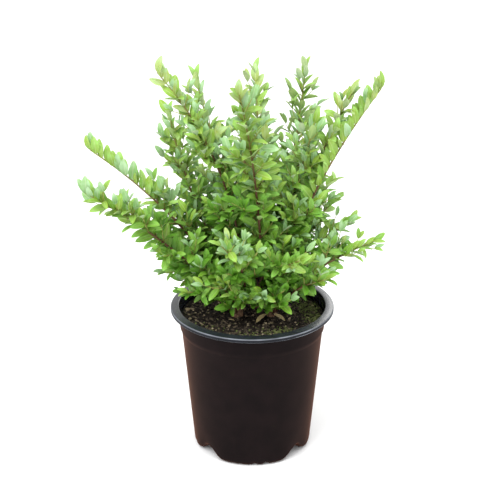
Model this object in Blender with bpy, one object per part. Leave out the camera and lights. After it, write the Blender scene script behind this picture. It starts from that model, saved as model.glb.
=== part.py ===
# Box honeysuckle, a small evergreen flowering shrub, growing in a round plastic nursery pot.
# Metres, +Z up. The origin is the middle of the pot's flat underside, and -Y is the front.
import random
from math import acos, atan2, ceil, cos, degrees, pi, radians, sin, sqrt

import bmesh
import bpy
import numpy as np
from mathutils import Matrix, Vector, noise

# Pot: a thin moulded plastic nursery pot of about two litres
POT_HEIGHT = 0.160
RIM_RADIUS = 0.0855
BASE_RADIUS = 0.0625
WALL = 0.0011
TOE_ROUND = 0.006
SHOULDER_HEIGHT = 0.133
SHOULDER_RADIUS = 0.0742
SHOULDER_STEP = 0.0016
NECK_RADIUS = 0.0768
RIM_DEPTH = 0.0042
RIM_EDGE = 0.001
ROUND_STEPS = 54
ROUND_EDGE_ANGLE = radians(35)
MERGE_DISTANCE = 0.00001

# Raised drainage channels that run out from under the middle of the base
CHANNEL_TURNS = [radians(turn) for turn in (40, 140, 220, 320)]
CHANNEL_DEPTH = 0.0115
CHANNEL_HALF_ANGLE = radians(20)
CHANNEL_INNER = 0.018
CHANNEL_FULL = 0.028
CHANNEL_TOP = 0.030
FLOOR_BAND = 0.003
DRAIN_RADIUS = 0.0045
DRAIN_FROM_AXIS = 0.044
DRAIN_SIDES = 12

# Compost
SOIL_HEIGHT = 0.148
SOIL_FLAT_RADIUS = 0.032
SOIL_RING_SHARES = (0.8, 0.6)
SOIL_ROUGHNESS = 0.002
SOIL_GRAIN = 0.018
SOIL_OFF_FLOOR = 0.003
CLEAR = 0.0003

# Woody stems: foot and top as (x, y), height, radius at foot and top, all from the compost up
GROUND = SOIL_HEIGHT + CLEAR
STEMS = {
    "stem_left": {"foot": (-0.016, -0.004), "top": (-0.009, -0.003), "height": 0.023,
                  "foot_radius": 0.0050, "top_radius": 0.0038},
    "stem_right": {"foot": (0.021, -0.004), "top": (0.011, -0.004), "height": 0.021,
                   "foot_radius": 0.0046, "top_radius": 0.0036},
    "stem_rear": {"foot": (0.004, 0.018), "top": (0.001, 0.011), "height": 0.024,
                  "foot_radius": 0.0048, "top_radius": 0.0038},
}
STEM_SIDES = 10
STEM_RINGS = 6
FLARE = 0.35
FLARE_SHARE = 0.3

# Shoots: the stem each one leaves and how far up it, compass angle from +X and its turn on the way,
# lean from upright at foot and tip, all in degrees, and length in metres.
SHOOTS = {
    "left_top": ("stem_left", 1.00, 155, 30, 0, 40, 0.255),
    "left_arch": ("stem_left", 0.65, 170, 10, 30, 55, 0.220),
    "left_low": ("stem_left", 0.45, 190, 10, 40, 55, 0.205),
    "left_upright": ("stem_left", 0.85, 135, 30, 40, 10, 0.205),
    "left_inner": ("stem_rear", 0.85, 150, -20, 15, 25, 0.225),
    "centre_fore": ("stem_right", 1.00, -105, -5, 5, 30, 0.250),
    "centre_rear": ("stem_rear", 1.00, 70, 30, 5, 30, 0.225),
    "centre_right": ("stem_rear", 0.85, -10, 30, 20, 15, 0.190),
    "right_crest": ("stem_rear", 0.65, 55, 20, 35, 25, 0.245),
    "right_inner": ("stem_right", 0.90, 40, -50, 20, 25, 0.230),
    "right_arch": ("stem_right", 0.65, 10, 10, 15, 40, 0.250),
    "right_small": ("stem_rear", 0.45, 20, 5, 30, 55, 0.130),
    "right_spray": ("stem_right", 0.45, 25, -15, 25, 65, 0.120),
    "right_low": ("stem_right", 0.30, -15, 20, 35, 70, 0.130),
    "front_right": ("stem_right", 0.75, -65, 5, 20, 65, 0.095),
    "right_bottom": ("stem_right", 0.15, -45, 10, 30, 70, 0.085),
    "front_left": ("stem_left", 0.80, -70, -70, 35, 45, 0.115),
    "front_low_left": ("stem_left", 0.35, -105, -20, 25, 60, 0.055),
    "front_centre": ("stem_left", 0.20, -90, 0, 35, 60, 0.055),
    "left_bottom": ("stem_left", 0.30, 175, 0, 45, 60, 0.085),
    "left_drape": ("stem_left", 0.15, -155, 0, 35, 80, 0.060),
    "front_right_near": ("stem_right", 0.45, -105, 0, 35, 60, 0.050),
    "front_right_low": ("stem_right", 0.15, -90, 20, 40, 70, 0.045),
    "back_left": ("stem_rear", 0.60, 115, 10, 40, 60, 0.170),
    "back_middle": ("stem_rear", 0.40, 85, 0, 35, 50, 0.195),
    "back_right": ("stem_rear", 0.25, 50, 0, 40, 65, 0.160),
    "back_low_left": ("stem_rear", 0.20, 145, 0, 50, 75, 0.110),
    "back_low": ("stem_rear", 0.05, 90, 0, 55, 80, 0.090),
}
SHOOT_RADIUS = 0.0015
SHOOT_TIP_RADIUS = 0.0006
RING_STEP = 0.028
BOUGH_SIDES = 6
BOUGH_SHARE = 0.25
BOUGH_LEAST_SHOOT = 0.095

# Twigs and leaves of each foliage mass
TWIG_SIDES = 3
TWIG_STEP = 0.032
TWIG_ANGLE = 45
TWIG_RADIUS = 0.0009
TWIG_TIP_RADIUS = 0.0005
TWIG_LONGEST = 0.055
TWIG_SHORTEST = 0.024
TWIG_RISE = 0.75
TWIG_SEAT = 0.6
TWIG_SPREAD_CHANCE = 8
TWIG_LENGTH_CHANCE = (0.6, 1.2)
TWIG_DROP_CHANCE = (-15, 50)
TWIG_RINGS = 2
TWIG_BARE = 0.15
TWIG_LEAF_SIZE = 0.95
TWIG_CUT_BACKS = (1.0, 0.7, 0.45)
TWIG_CHECKED_AT = (0.5, 0.75, 1.0)
PAIR_STEP = 0.0155
PAIR_STAGGER = 0.0004
LAST_PAIR_BACK = 0.1
LEAF_LONGEST = 0.030
LEAF_SHORTEST = 0.0215
LEAF_WIDTH = 0.56
LEAF_WIDEST = 0.45
LEAF_HALF_THICKNESS = 0.0004
LEAF_ROOT = 0.0002
LEAF_SPREAD = 55
LEAF_TIP_SPREAD = 30
LEAF_TURN_CHANCE = 6
LEAF_SPREAD_CHANCE = 5
LEAF_ROLL_CHANCE = 14
UPRIGHT_LEAN = 25

# The light that leaves turn to: from above, out of the crown, and a little from the front
LIGHT_ABOVE = 0.75
LIGHT_SIDEWAYS = 2.2
LIGHT_BACKWARDS = 5
LIGHT_FRONT = 0.4
LIGHT_SHARE = 0.75
AHEAD_SHARE = 0.35

# Beyond this share of its length such a shoot has no twigs and its leaves stand like the teeth of a comb
ROWS = {"left_arch": 0.60, "right_arch": 0.40, "left_low": 0.92, "left_top": 0.88}
ROW_RISE = 60
ROW_LIGHT_SHARE = 0.2

# Room kept between one mass and its neighbours, the stems, the pot and the compost
MASS_MARGIN = 0.0008
LIMB_MARGIN = 0.0030
POT_MARGIN = 0.003
SOIL_MARGIN = 0.004
SAMPLE_STEP = 0.004


for thing in list(bpy.data.objects):
    bpy.data.objects.remove(thing, do_unlink=True)


def linear(hex_colour):
    """Linear colour of an sRGB hex value."""
    parts = [int(hex_colour[i:i + 2], 16) / 255 for i in (1, 3, 5)]
    return [c / 12.92 if c <= 0.04045 else ((c + 0.055) / 1.055) ** 2.4 for c in parts] + [1.0]


def material(name, colour, roughness):
    made = bpy.data.materials.new(name)
    made.use_nodes = True
    shader = made.node_tree.nodes["Principled BSDF"]
    shader.inputs["Base Color"].default_value = linear(colour)
    shader.inputs["Roughness"].default_value = roughness
    shader.inputs["Metallic"].default_value = 0.0
    return made


PLASTIC = material("black_plastic", "#241b1a", 0.45)
COMPOST = material("compost", "#2e2420", 0.95)
BARK = material("bark", "#6e4a35", 0.8)
LEAVES = material("foliage", "#6f9c2e", 0.4)


def object_from(name, bm, finish, smooth=False):
    mesh = bpy.data.meshes.new(name)
    bm.to_mesh(mesh)
    bm.free()
    mesh.materials.append(finish)
    if smooth:
        mesh.shade_smooth()
        mesh.set_sharp_from_angle(angle=ROUND_EDGE_ANGLE)
    made = bpy.data.objects.new(name, mesh)
    bpy.context.scene.collection.objects.link(made)
    return made


# Pot and compost

def turned(outline):
    """Closed body made by spinning an (r, z) outline, whose ends lie on the axis, about +Z."""
    bm = bmesh.new()
    verts = [bm.verts.new((r, 0, z)) for r, z in outline]
    edges = [bm.edges.new(pair) for pair in zip(verts, verts[1:])]
    bmesh.ops.spin(bm, geom=verts + edges, cent=(0, 0, 0), axis=(0, 0, 1), angle=2 * pi,
                   steps=ROUND_STEPS, use_merge=True)
    bmesh.ops.remove_doubles(bm, verts=bm.verts, dist=MERGE_DISTANCE)
    bmesh.ops.recalc_face_normals(bm, faces=bm.faces)
    return bm


def side_outline(inset, off_floor=0.0):
    """The pot's floor and side from the axis up to its neck, moved inwards, and more so off the floor."""
    level = inset + off_floor
    floor = [(0, level), (CHANNEL_INNER, level), (CHANNEL_FULL, level)]
    toe_middle = BASE_RADIUS - TOE_ROUND
    toe = [(toe_middle + (TOE_ROUND - level) * sin(a), TOE_ROUND - (TOE_ROUND - level) * cos(a))
           for a in (0, pi / 4, pi / 2)]
    slope = (SHOULDER_RADIUS - BASE_RADIUS) / (SHOULDER_HEIGHT - TOE_ROUND)
    band_radius = BASE_RADIUS + (CHANNEL_TOP - TOE_ROUND) * slope
    side = [(band_radius - inset, CHANNEL_TOP),
            (SHOULDER_RADIUS - inset, SHOULDER_HEIGHT),
            (SHOULDER_RADIUS + SHOULDER_STEP - inset, SHOULDER_HEIGHT + 2 * SHOULDER_STEP)]
    return floor + toe + side


def raise_channels(bm):
    """Lift the base along its drainage channels, fading out up the side."""
    for vert in bm.verts:
        radius = vert.co.xy.length
        if radius < CHANNEL_INNER or vert.co.z > CHANNEL_TOP:
            continue
        turn = atan2(vert.co.y, vert.co.x) % (2 * pi)
        off = min(abs(turn - middle) for middle in CHANNEL_TURNS)
        if off >= CHANNEL_HALF_ANGLE:
            continue
        across = 0.5 + 0.5 * cos(pi * off / CHANNEL_HALF_ANGLE)
        along = min(1.0, (radius - CHANNEL_INNER) / (CHANNEL_FULL - CHANNEL_INNER))
        upward = min(1.0, (CHANNEL_TOP - vert.co.z) / (CHANNEL_TOP - FLOOR_BAND))
        vert.co.z += CHANNEL_DEPTH * across * along * upward
    bmesh.ops.triangulate(bm, faces=bm.faces)


def make_pot():
    under_rim = POT_HEIGHT - RIM_DEPTH
    rim = [(NECK_RADIUS, under_rim + RIM_EDGE),
           (RIM_RADIUS - RIM_EDGE, under_rim),
           (RIM_RADIUS, under_rim + RIM_EDGE),
           (RIM_RADIUS, POT_HEIGHT - RIM_EDGE),
           (RIM_RADIUS - RIM_EDGE, POT_HEIGHT),
           (NECK_RADIUS + RIM_EDGE, POT_HEIGHT),
           (NECK_RADIUS - WALL, POT_HEIGHT - 2 * RIM_EDGE)]
    bm = turned(side_outline(0) + rim + side_outline(WALL)[::-1])
    raise_channels(bm)
    pot = object_from("pot", bm, PLASTIC, smooth=True)
    for number, turn in enumerate(CHANNEL_TURNS, 1):
        hole = bmesh.new()
        where = Vector((cos(turn), sin(turn), 0)) * DRAIN_FROM_AXIS
        bmesh.ops.create_cone(hole, cap_ends=True, segments=DRAIN_SIDES, radius1=DRAIN_RADIUS,
                              radius2=DRAIN_RADIUS, depth=2 * CHANNEL_TOP, matrix=Matrix.Translation(where))
        cutter = object_from(f"drain_cutter_{number}", hole, PLASTIC)
        cutter.hide_render = True
        cutter.display_type = "WIRE"
        cut = pot.modifiers.new(f"drain_{number}", "BOOLEAN")
        cut.operation = "DIFFERENCE"
        cut.object = cutter


def make_compost():
    inset = WALL + CLEAR
    edge = NECK_RADIUS - SHOULDER_STEP / 2 - inset
    level = SOIL_HEIGHT
    top = [(edge, level)] + [(share * edge, level) for share in SOIL_RING_SHARES]
    top += [(SOIL_FLAT_RADIUS, level), (0, level)]
    bm = turned(side_outline(inset, SOIL_OFF_FLOOR) + top)
    raise_channels(bm)
    for vert in bm.verts:
        radius = vert.co.xy.length
        if vert.co.z > level - CLEAR and radius > SOIL_FLAT_RADIUS + CLEAR:
            vert.co.z += SOIL_ROUGHNESS * noise.noise(vert.co / SOIL_GRAIN)
    object_from("compost", bm, COMPOST)


# Limbs

def heading(azimuth, lean):
    """Turn that points +Z along a limb of this compass angle and lean, with -X on its upper side."""
    return Matrix.Rotation(radians(azimuth), 4, "Z") @ Matrix.Rotation(radians(lean), 4, "Y")


class Shoot:
    """A limb's middle line, an arc that leans and turns evenly from foot to tip."""

    def __init__(self, foot, azimuth, turn, lean, tip_lean, length):
        self.azimuth, self.turn = azimuth, turn
        self.lean, self.tip_lean = lean, tip_lean
        self.length = length
        self.steps = max(2, ceil(length / RING_STEP))
        self.points = [Vector(foot)]
        for i in range(self.steps):
            ahead = self.turned_to((i + 0.5) / self.steps) @ Vector((0, 0, length / self.steps))
            self.points.append(self.points[-1] + ahead)

    def lean_at(self, share):
        return self.lean + (self.tip_lean - self.lean) * share

    def turned_to(self, share):
        return heading(self.azimuth + self.turn * share, self.lean_at(share))

    def place(self, share):
        at = min(share * self.steps, self.steps - 0.000001)
        before = int(at)
        spot = self.points[before].lerp(self.points[before + 1], at - before)
        return Matrix.Translation(spot) @ self.turned_to(share)

    def samples(self, start, end):
        count = max(2, ceil((end - start) * self.length / SAMPLE_STEP))
        return [self.place(start + (end - start) * i / count).translation for i in range(count + 1)]


def limb(places, radii, sides):
    """Tapering body drawn through the places, by extruding one end face from ring to ring."""
    bm = bmesh.new()
    bmesh.ops.create_circle(bm, cap_ends=True, segments=sides, radius=radii[0], matrix=places[0])
    end = bm.faces[:][0]
    for i in range(1, len(places)):
        grown = bmesh.ops.extrude_face_region(bm, geom=[end])["geom"]
        if i > 1:
            bmesh.ops.delete(bm, geom=[end], context="FACES_ONLY")
        end = [part for part in grown if isinstance(part, bmesh.types.BMFace)][0]
        move = places[i] @ Matrix.Scale(radii[i] / radii[i - 1], 4) @ places[i - 1].inverted()
        bmesh.ops.transform(bm, matrix=move, verts=end.verts)
    bmesh.ops.recalc_face_normals(bm, faces=bm.faces)
    return bm


def stem_line(stem):
    foot = Vector((*stem["foot"], GROUND))
    top = Vector((*stem["top"], GROUND + stem["height"]))
    return foot, top


def stem_radius(stem, share):
    """A stem's radius at a share of its height, with the flare at its foot."""
    taper = stem["foot_radius"] + (stem["top_radius"] - stem["foot_radius"]) * share
    return taper * (1 + FLARE * max(0.0, 1 - share / FLARE_SHARE) ** 2)


def make_stem(name, stem):
    """Short woody stem with a flared foot, cut flat at the compost."""
    foot, top = stem_line(stem)
    shares = [i / STEM_RINGS for i in range(STEM_RINGS + 1)]
    places = [Matrix.Translation(foot.lerp(top, share)) for share in shares]
    radii = [stem_radius(stem, share) for share in shares]
    object_from(name, limb(places, radii, STEM_SIDES), BARK, smooth=True)


def foot_on_stem(stem, seat, azimuth, lean):
    """Where a shoot's cut foot sits, just clear of the top or side of its stem."""
    foot, top = stem_line(stem)
    upward = (top - foot).normalized()
    ahead = heading(azimuth, lean) @ Vector((0, 0, 1))
    along = ahead.dot(upward)
    if seat == 1.0:
        return top + ahead * (CLEAR + SHOOT_RADIUS * sqrt(1 - along * along)) / along
    outward = (ahead - upward * along).normalized()
    return foot.lerp(top, seat) + outward * (stem_radius(stem, seat) + CLEAR + SHOOT_RADIUS * along)


def plan_shoots():
    shoots = {}
    for name, (stem, seat, azimuth, turn, lean, tip_lean, length) in SHOOTS.items():
        foot = foot_on_stem(STEMS[stem], seat, azimuth, lean)
        shoots[name] = Shoot(foot, azimuth, turn, lean, tip_lean, length)
    return shoots


def mass_start(shoot):
    """Share of a shoot below its foliage mass: none on a short shoot, which has no bough."""
    return BOUGH_SHARE if shoot.length >= BOUGH_LEAST_SHOOT else 0.0


def shoot_radius(share):
    return SHOOT_RADIUS + (SHOOT_TIP_RADIUS - SHOOT_RADIUS) * share


def stretch(shoot, start, end, steps, sides, name, finish):
    """One tapering piece of a shoot from share start to share end."""
    shares = [start + (end - start) * i / steps for i in range(steps + 1)]
    places = [shoot.place(share) for share in shares]
    return object_from(name, limb(places, [shoot_radius(share) for share in shares], sides), finish)


# Foliage

class Room:
    """Tells whether points stay in the space nearest one shoot, clear of every limb."""

    def __init__(self, shoots):
        points = []
        owners = []
        self.names = list(shoots)
        for number, shoot in enumerate(shoots.values()):
            line = shoot.samples(0.0, 1.0)
            points += line
            owners += [number] * len(line)
        for stem in STEMS.values():
            foot, top = stem_line(stem)
            line = [foot.lerp(top, i / STEM_RINGS) for i in range(STEM_RINGS + 1)]
            points += line
            owners += [-1] * len(line)
        self.points = np.array([tuple(point) for point in points])
        self.owners = np.array(owners)
        self.boughs = {}
        for name, shoot in shoots.items():
            start = mass_start(shoot)
            line = shoot.samples(0.0, start) if start else [shoot.place(0.0).translation]
            self.boughs[name] = np.array([tuple(point) for point in line])

    def keeps(self, name, points):
        for point in points:
            if point.z < SOIL_HEIGHT + SOIL_MARGIN:
                return False
            if point.xy.length > NECK_RADIUS - WALL - POT_MARGIN and point.z < POT_HEIGHT + POT_MARGIN:
                return False
            spot = np.array(tuple(point))
            away = np.linalg.norm(self.points - spot, axis=1)
            mine = self.owners == self.names.index(name)
            if away[~mine].min() - away[mine].min() < MASS_MARGIN:
                return False
            if away[~mine].min() < LIMB_MARGIN:
                return False
            if np.linalg.norm(self.boughs[name] - spot, axis=1).min() < LIMB_MARGIN:
                return False
        return True


def off_limb(place, around, spread):
    """Direction that leaves a limb by the spread, around degrees from the limb's upper side."""
    around, spread = radians(around), radians(spread)
    local = Vector((-cos(around) * sin(spread), sin(around) * sin(spread), cos(spread)))
    return (place.to_3x3() @ local).normalized()


def light_on(spot):
    """Where the leaves at this spot turn their faces."""
    outward = Vector((LIGHT_SIDEWAYS * spot.x, LIGHT_BACKWARDS * spot.y, 0))
    return (outward + Vector((0, -LIGHT_FRONT, LIGHT_ABOVE))).normalized()


def leaf_corners(root, along, facing, length, roll):
    """Root, tip, two sides and the crown of both faces of one pointed leaf."""
    flat = (facing - along * facing.dot(along)).normalized()
    flat = Matrix.Rotation(radians(roll), 3, along) @ flat
    across = along.cross(flat)
    middle = root + along * length * LEAF_WIDEST
    half = length * LEAF_WIDTH / 2
    return [root - along * LEAF_ROOT, root + along * length, middle - across * half,
            middle + across * half, middle + flat * LEAF_HALF_THICKNESS,
            middle - flat * LEAF_HALF_THICKNESS]


def leaf_object(corners):
    bm = bmesh.new()
    verts = [bm.verts.new(corner) for corner in corners]
    bmesh.ops.convex_hull(bm, input=verts)
    bmesh.ops.recalc_face_normals(bm, faces=bm.faces)
    return object_from("leaf", bm, LEAVES)


def grow_leaves(shoot, start, name, room, size, row_from, chance):
    """Pairs of leaves from start to the tip, each kept only where it stays in the mass's space.

    Every other pair of an upright shoot is crossed, and the others sit left and right of its lit side.
    In a row both leaves of a pair stand up."""
    leaves = []
    nodes = max(1, int((1 - start) * shoot.length / PAIR_STEP))
    for node in range(1, nodes + 1):
        share = start + (1 - start) * (node - LAST_PAIR_BACK) / nodes
        row = share > row_from
        length = (LEAF_LONGEST + (LEAF_SHORTEST - LEAF_LONGEST) * share) * size
        spread = LEAF_SPREAD + (LEAF_TIP_SPREAD - LEAF_SPREAD) * share ** 3
        if row:
            turns = (90 - ROW_RISE, 270 + ROW_RISE)
        elif node % 2 and shoot.lean_at(share) < UPRIGHT_LEAN:
            turns = (0, 180)
        else:
            turns = (90, 270)
        for side, around in enumerate(turns):
            place = shoot.place(share - side * PAIR_STAGGER / shoot.length)
            ahead = place.to_3x3() @ Vector((0, 0, 1))
            light = light_on(place.translation)
            upper = Vector((0, 0, 1)) if row else light
            upper = (upper - ahead * upper.dot(ahead)).normalized()
            turn = radians(around + chance.uniform(-LEAF_TURN_CHANCE, LEAF_TURN_CHANCE))
            off = radians(spread + chance.uniform(-LEAF_SPREAD_CHANCE, LEAF_SPREAD_CHANCE))
            along = ahead * cos(off) + (upper * cos(turn) + ahead.cross(upper) * sin(turn)) * sin(off)
            page = along.cross(ahead).normalized()
            page *= 1 if page.dot(light) > 0 else -1
            facing = light * LIGHT_SHARE + ahead * AHEAD_SHARE
            if row:
                facing = page.lerp(light, ROW_LIGHT_SHARE)
            roll = chance.uniform(-LEAF_ROLL_CHANCE, LEAF_ROLL_CHANCE)
            corners = leaf_corners(place.translation, along, facing, length, roll)
            beyond = corners[4].lerp(corners[1], 0.5)
            if room.keeps(name, corners[1:] + [beyond]):
                leaves.append(leaf_object(corners))
    return leaves


def grow_twigs(shoot, start, name, room, row_from, chance):
    """Side twigs, alternately left and right, longest low on the shoot, cut back to fit the space."""
    parts = []
    count = int((1 - start) * shoot.length / TWIG_STEP)
    for k in range(count):
        share = start + (1 - start) * (k + TWIG_SEAT) / (count + 1)
        if share > row_from:
            break
        longer = (TWIG_LONGEST - TWIG_SHORTEST) * (1 - share) * chance.uniform(*TWIG_LENGTH_CHANCE)
        wanted = TWIG_SHORTEST + longer
        place = shoot.place(share)
        around = (90 - chance.uniform(*TWIG_DROP_CHANCE)) * (1 if k % 2 else -1)
        spread_by = chance.uniform(-TWIG_SPREAD_CHANCE, TWIG_SPREAD_CHANCE)
        ahead = off_limb(place, around, TWIG_ANGLE + spread_by)
        azimuth, lean = degrees(atan2(ahead.y, ahead.x)), degrees(acos(ahead.z))
        for cut_back in TWIG_CUT_BACKS:
            twig = Shoot(place.translation, azimuth, 0, lean, lean * TWIG_RISE, wanted * cut_back)
            if room.keeps(name, [twig.place(at).translation for at in TWIG_CHECKED_AT]):
                places = [twig.place(i / TWIG_RINGS) for i in range(TWIG_RINGS + 1)]
                thinning = (TWIG_TIP_RADIUS - TWIG_RADIUS) / TWIG_RINGS
                radii = [TWIG_RADIUS + thinning * i for i in range(TWIG_RINGS + 1)]
                parts.append(object_from("twig", limb(places, radii, TWIG_SIDES), LEAVES))
                parts += grow_leaves(twig, TWIG_BARE, name, room, TWIG_LEAF_SIZE, 1.0, chance)
                break
    return parts


def fuse(body, parts):
    """Join the parts to the body by one Boolean union and clear them away."""
    group = bpy.data.collections.new("parts")
    bpy.context.scene.collection.children.link(group)
    for part in parts:
        bpy.context.scene.collection.objects.unlink(part)
        group.objects.link(part)
    join = body.modifiers.new("join", "BOOLEAN")
    join.operation = "UNION"
    join.solver = "MANIFOLD"
    join.operand_type = "COLLECTION"
    join.collection = group
    shape = bpy.data.meshes.new_from_object(body.evaluated_get(bpy.context.evaluated_depsgraph_get()))
    body.modifiers.clear()
    body.data = shape
    for part in parts:
        bpy.data.objects.remove(part, do_unlink=True)
    bpy.data.collections.remove(group)


def make_mass(name, shoot, room):
    start = mass_start(shoot)
    gap = CLEAR / shoot.length if start else 0.0
    steps = max(2, ceil((1 - start) * shoot.length / RING_STEP))
    body = stretch(shoot, start + gap, 1.0, steps, TWIG_SIDES, f"foliage_{name}", LEAVES)
    chance = random.Random(name)
    row_from = ROWS.get(name, 1.0)
    parts = grow_twigs(shoot, start, name, room, row_from, chance)
    parts += grow_leaves(shoot, start, name, room, 1.0, row_from, chance)
    fuse(body, parts)


make_pot()
make_compost()
for stem_name, stem_sizes in STEMS.items():
    make_stem(stem_name, stem_sizes)
all_shoots = plan_shoots()
space = Room(all_shoots)
for shoot_name, planned in all_shoots.items():
    if mass_start(planned):
        bough_steps = max(2, ceil(BOUGH_SHARE * planned.length / RING_STEP))
        stretch(planned, 0.0, BOUGH_SHARE, bough_steps, BOUGH_SIDES, f"bough_{shoot_name}", BARK)
    make_mass(shoot_name, planned, space)
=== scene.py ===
# Box honeysuckle, a small evergreen shrub, in a round plastic nursery pot.
# Metres, +Z up, with the pot's underside at the origin and its front towards -Y.
import random
from math import acos, atan2, ceil, cos, degrees, pi, radians, sin, sqrt

import bmesh
import bpy
import numpy as np
from mathutils import Matrix, Vector, noise


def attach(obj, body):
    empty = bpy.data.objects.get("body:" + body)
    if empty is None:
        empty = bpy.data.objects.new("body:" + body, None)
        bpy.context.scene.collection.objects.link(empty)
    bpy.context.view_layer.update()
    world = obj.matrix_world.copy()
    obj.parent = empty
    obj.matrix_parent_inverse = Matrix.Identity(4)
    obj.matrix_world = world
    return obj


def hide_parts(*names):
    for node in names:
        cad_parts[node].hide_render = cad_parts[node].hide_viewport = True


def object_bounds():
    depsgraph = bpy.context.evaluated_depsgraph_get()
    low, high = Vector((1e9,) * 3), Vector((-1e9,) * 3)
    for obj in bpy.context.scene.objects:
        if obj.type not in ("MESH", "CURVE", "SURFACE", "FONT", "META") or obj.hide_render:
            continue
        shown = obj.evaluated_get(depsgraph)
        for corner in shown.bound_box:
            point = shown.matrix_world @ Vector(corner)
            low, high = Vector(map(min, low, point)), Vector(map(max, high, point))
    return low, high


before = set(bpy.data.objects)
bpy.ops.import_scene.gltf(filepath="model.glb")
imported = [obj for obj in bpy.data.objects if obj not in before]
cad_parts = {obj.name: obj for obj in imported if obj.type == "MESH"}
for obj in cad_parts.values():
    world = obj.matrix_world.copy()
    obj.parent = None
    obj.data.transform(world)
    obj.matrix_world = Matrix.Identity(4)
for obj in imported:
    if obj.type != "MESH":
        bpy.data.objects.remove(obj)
cad_box = [[float(v) for v in corner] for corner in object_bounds()]


# Pot shell: a thin nursery pot of polypropylene, moulded in one shot over a polished core. It is dark
# brown outside and black inside and on the rim. The rim's rounded edges are painted grey as highlights,
# and its outer side is matt and painted a darker black as shade. The rolled rim is for carrying, the
# shoulder stops stacked pots from jamming, and the arches at its foot let water out.

POT_HEIGHT = 0.160
RIM_RADIUS = 0.0855
BASE_RADIUS = 0.0625
WALL = 0.0011
TOE_ROUND = 0.006
SHOULDER_HEIGHT = 0.133
SHOULDER_RADIUS = 0.0742
SHOULDER_STEP = 0.0016
NECK_RADIUS = 0.0768
RIM_DEPTH = 0.0050
LIP_ROUND = 0.0009
LIP_TOP_ROUND = 0.0013
RIM_ROOT_DROP = 0.0015
RIM_ROOT_ROUND = 0.0006
# The slight taper that lets the pot leave its mould
DRAFT = 0.0002
POT_STEPS = 160
CHANNEL_TURNS = [radians(turn) for turn in (40, 140, 220, 320)]
CHANNEL_DEPTH = 0.0115
CHANNEL_HALF_ANGLE = radians(20)
CHANNEL_INNER = 0.018
CHANNEL_FULL = 0.028
CHANNEL_TOP = 0.030
FLOOR_BAND = 0.003
FOOT_NOTCH_TURNS = [radians(foot + turn) for foot in (0, 90, 180, 270) for turn in (2, 14)]
FOOT_NOTCH_DEPTH = 0.0022
FOOT_NOTCH_HALF_ANGLE = radians(3.5)
DRAIN_RADIUS = 0.0045
DRAIN_FROM_AXIS = 0.044
DRAIN_SIDES = 24
SCUFF_WIDTH = 0.018
SPARK_GRAIN = 0.0012
SHARP_EDGE = radians(40)


def linear(hex_colour):
    """Linear colour of an sRGB hex value."""
    parts = [int(hex_colour[i:i + 2], 16) / 255 for i in (1, 3, 5)]
    return [c / 12.92 if c <= 0.04045 else ((c + 0.055) / 1.055) ** 2.4 for c in parts] + [1.0]


def new_material(name, roughness, ior, specular=0.5):
    """Material whose own shader holds what is the same all over the surface."""
    made = bpy.data.materials.new(name)
    made.use_nodes = True
    shader = made.node_tree.nodes["Principled BSDF"]
    shader.inputs["Roughness"].default_value = roughness
    shader.inputs["IOR"].default_value = ior
    shader.inputs["Specular IOR Level"].default_value = specular
    shader.inputs["Metallic"].default_value = 0.0
    return made, shader


def add(finish, kind, links, **settings):
    """Adds one node, sets it, and fills each input with a value or a link."""
    made = finish.node_tree.nodes.new(kind)
    for setting, value in settings.items():
        setattr(made, setting, value)
    for socket, value in links.items():
        if isinstance(value, bpy.types.NodeSocket):
            finish.node_tree.links.new(value, made.inputs[socket])
        else:
            made.inputs[socket].default_value = value
    return made


# Where a Mix node has its two colours and its result
COLOUR_A, COLOUR_B, COLOUR_OUT = 6, 7, 2
# The range that holds nearly all values of a noise, stretched to run from nothing to full
NOISE_RANGE = {"From Min": 0.35, "From Max": 0.65}


def dress(finish, shader, tone, relief):
    """Gives a material's shader its colour and its relief."""
    finish.node_tree.links.new(tone.outputs[COLOUR_OUT], shader.inputs["Base Color"])
    finish.node_tree.links.new(relief.outputs["Normal"], shader.inputs["Normal"])


def moulded_polypropylene(name, low, high, roughness, specular, painted_edge_sheen):
    """Injection-moulded polypropylene, waxy, with a fine spark-eroded grain."""
    # To the eye: nearly black, a soft wide shine, slow cloudy changes of tone and a warm sheen where the
    # side turns away, which is painted light along the pot's edges. The rim's rounded edges are painted grey
    # as thin highlights, and its side a darker black as painted shade. The real grain is too fine to show and
    # is drawn coarser.
    finish, shader = new_material(name, roughness, 1.49, specular)
    # A warm sheen that is painted light along the pot's edges, where the side turns away.
    shader.inputs["Sheen Weight"].default_value = painted_edge_sheen
    shader.inputs["Sheen Roughness"].default_value = 0.34
    shader.inputs["Sheen Tint"].default_value = linear("#b3673c")
    place = add(finish, "ShaderNodeTexCoord", {}).outputs["Object"]
    cloud = add(finish, "ShaderNodeTexNoise", {"Vector": place, "Scale": 1 / SCUFF_WIDTH, "Detail": 6.0})
    grain = add(finish, "ShaderNodeTexNoise", {"Vector": place, "Scale": 1 / SPARK_GRAIN, "Detail": 2.0})
    patch = add(finish, "ShaderNodeMapRange", {"Value": cloud.outputs["Fac"], **NOISE_RANGE})
    tone = add(finish, "ShaderNodeMix", {"Factor": patch.outputs["Result"], COLOUR_A: linear(low),
                                         COLOUR_B: linear(high)}, data_type="RGBA")
    bump = add(finish, "ShaderNodeBump", {"Height": grain.outputs["Fac"], "Distance": 0.00005})
    dress(finish, shader, tone, bump)
    return finish


def shown(name, bm, *finishes):
    """Object from a bmesh, smooth but for its true edges."""
    mesh = bpy.data.meshes.new(name)
    bm.to_mesh(mesh)
    bm.free()
    for finish in finishes:
        mesh.materials.append(finish)
    mesh.shade_smooth()
    mesh.set_sharp_from_angle(angle=SHARP_EDGE)
    made = bpy.data.objects.new(name, mesh)
    bpy.context.scene.collection.objects.link(made)
    return made


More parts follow.
